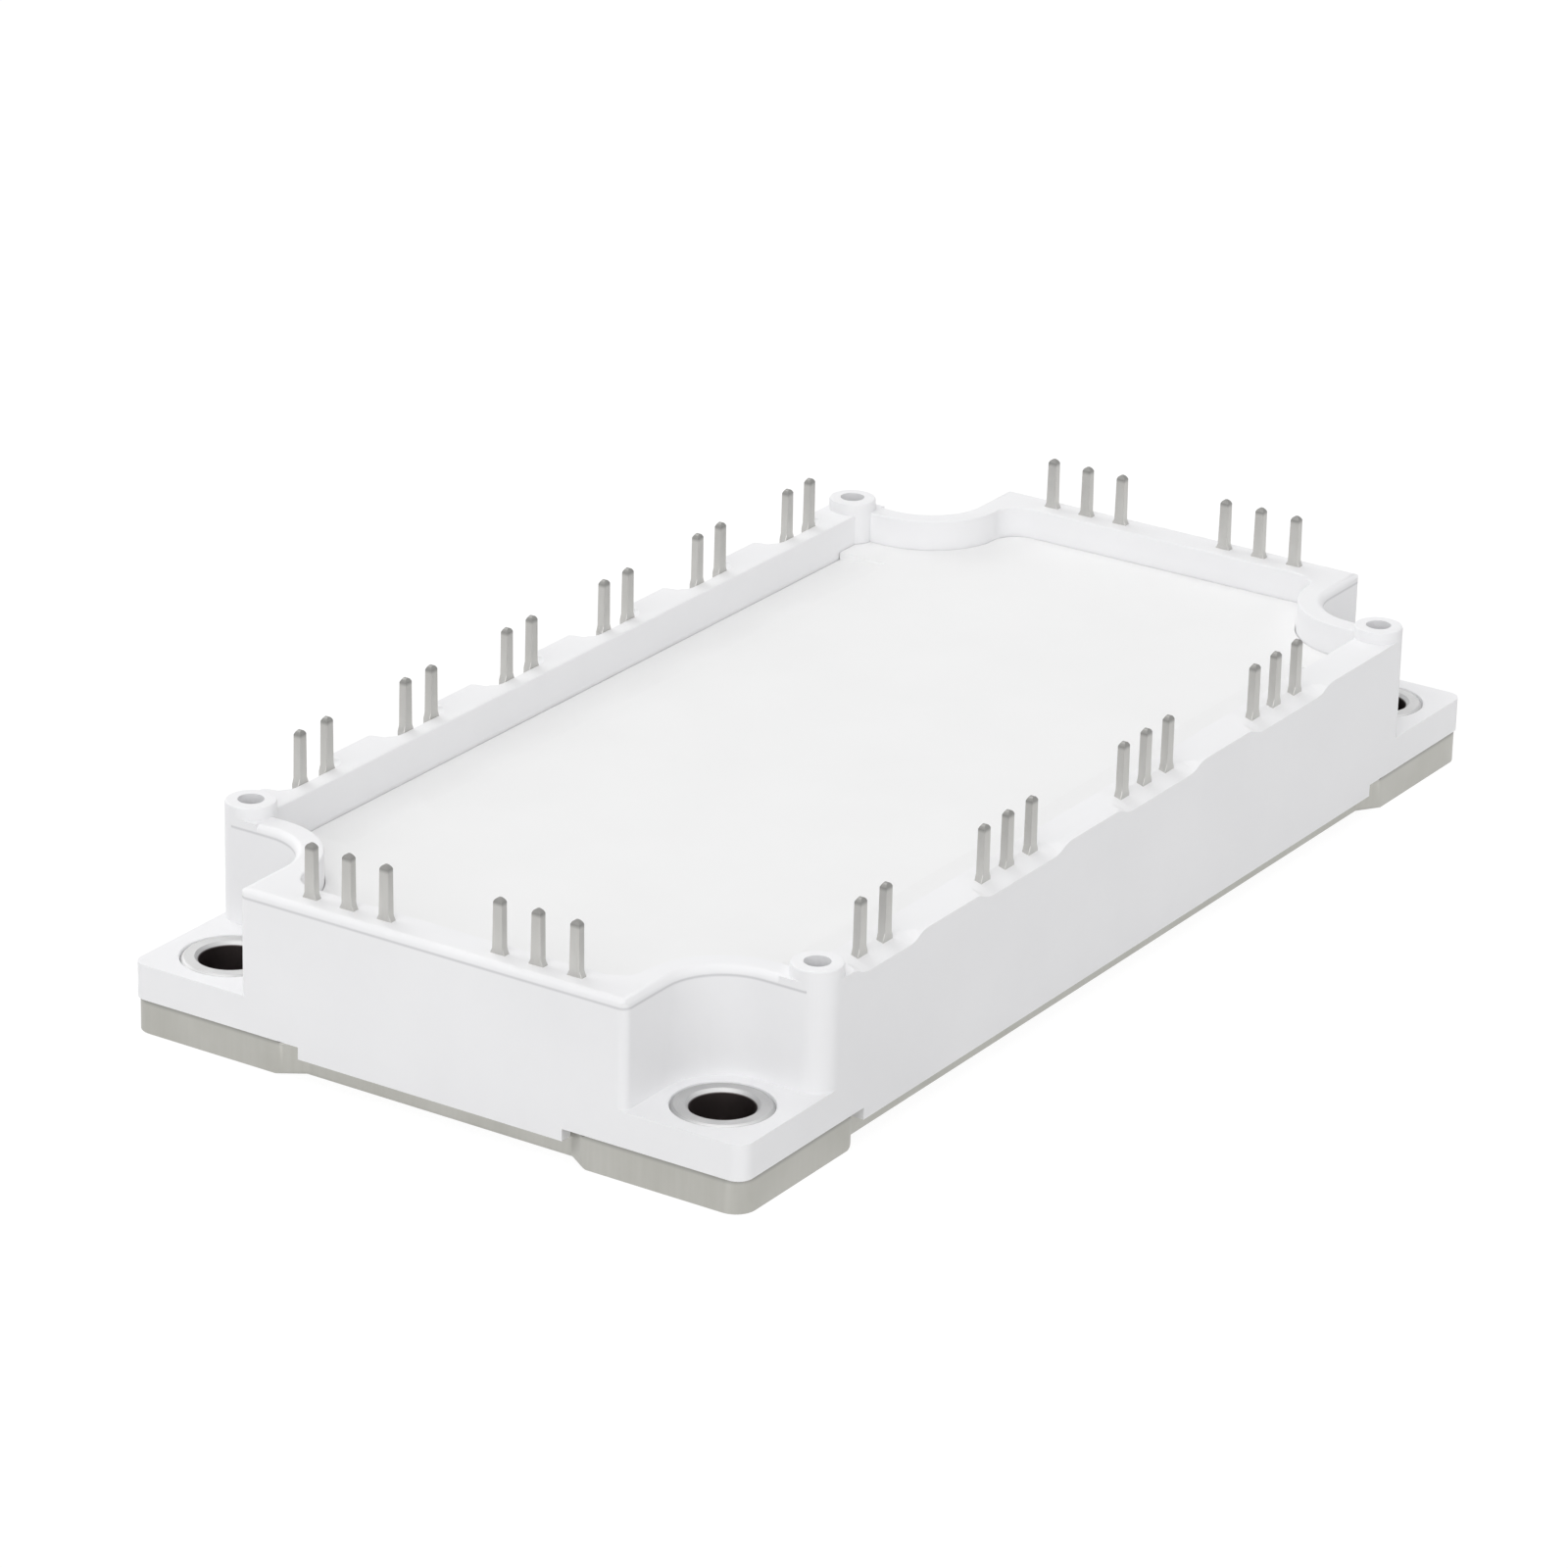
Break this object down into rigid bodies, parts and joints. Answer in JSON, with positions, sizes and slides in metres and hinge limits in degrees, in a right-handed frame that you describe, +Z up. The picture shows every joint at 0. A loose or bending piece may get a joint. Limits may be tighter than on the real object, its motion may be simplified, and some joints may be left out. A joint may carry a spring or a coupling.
{
  "type": "IGBT power module",
  "caption": "Flat six-switch IGBT power module: metal base plate, white moulded frame with corner recesses, solder pins on all four sides.",
  "frame": {"origin": "centre of the base plate's underside, the face that meets the heat sink", "axes": "+X along the length, away from the end with the sensor pins; +Y across the width, towards the gate pins; +Z up, the way the pins point"},
  "size_m": [0.122, 0.062, 0.0208],
  "materials": {
    "nickel_plate": "nickel-plated copper, dull, with faint grinding marks",
    "frame_plastic": "white moulded plastic, fine matte",
    "lid_plastic": "white moulded plastic, smooth matte",
    "bush_metal": "nickel-plated, turned",
    "tinned_pin": "tinned copper, satin",
    "copper": "bare copper, satin",
    "ceramic": "white sintered sheet",
    "chip": "metallised silicon, satin",
    "bond_wire": "bare aluminium, satin",
    "sensor_body": "dark glazed block",
    "silicone_gel": "clear soft silicone"
  },
  "bodies": {
    "root": {"base_plate": "nickel_plate", "frame": "frame_plastic", "lid": "lid_plastic", "gel": "silicone_gel", "bush_front_left": "bush_metal", "bush_front_right": "bush_metal", "bush_back_left": "bush_metal", "bush_back_right": "bush_metal", "pin_gate_1": "tinned_pin", "pin_gate_2": "tinned_pin", "pin_gate_3": "tinned_pin", "pin_gate_4": "tinned_pin", "pin_gate_5": "tinned_pin", "pin_gate_6": "tinned_pin", "pin_gate_7": "tinned_pin", "pin_gate_8": "tinned_pin", "pin_gate_9": "tinned_pin", "pin_gate_10": "tinned_pin", "pin_gate_11": "tinned_pin", "pin_gate_12": "tinned_pin", "pin_sensor_1": "tinned_pin", "pin_sensor_2": "tinned_pin", "pin_supply_1": "tinned_pin", "pin_supply_2": "tinned_pin", "pin_supply_3": "tinned_pin", "pin_supply_4": "tinned_pin", "pin_supply_5": "tinned_pin", "pin_supply_6": "tinned_pin", "pin_supply_7": "tinned_pin", "pin_supply_8": "tinned_pin", "pin_supply_9": "tinned_pin", "pin_output_1": "tinned_pin", "pin_output_2": "tinned_pin", "pin_output_3": "tinned_pin", "pin_output_4": "tinned_pin", "pin_output_5": "tinned_pin", "pin_output_6": "tinned_pin", "pin_output_7": "tinned_pin", "pin_output_8": "tinned_pin", "pin_output_9": "tinned_pin", "pin_output_10": "tinned_pin", "pin_output_11": "tinned_pin", "pin_output_12": "tinned_pin", "copper_base_1": "copper", "copper_base_2": "copper", "copper_base_3": "copper", "ceramic_1": "ceramic", "ceramic_2": "ceramic", "ceramic_3": "ceramic", "copper_circuit_1": "copper", "copper_circuit_2": "copper", "copper_circuit_3": "copper", "transistor_chips_1": "chip", "transistor_chips_2": "chip", "transistor_chips_3": "chip", "diode_chips_1": "chip", "diode_chips_2": "chip", "diode_chips_3": "chip", "bond_wires": "bond_wire", "temperature_sensor": "sensor_body"}
  },
  "joints": []
}
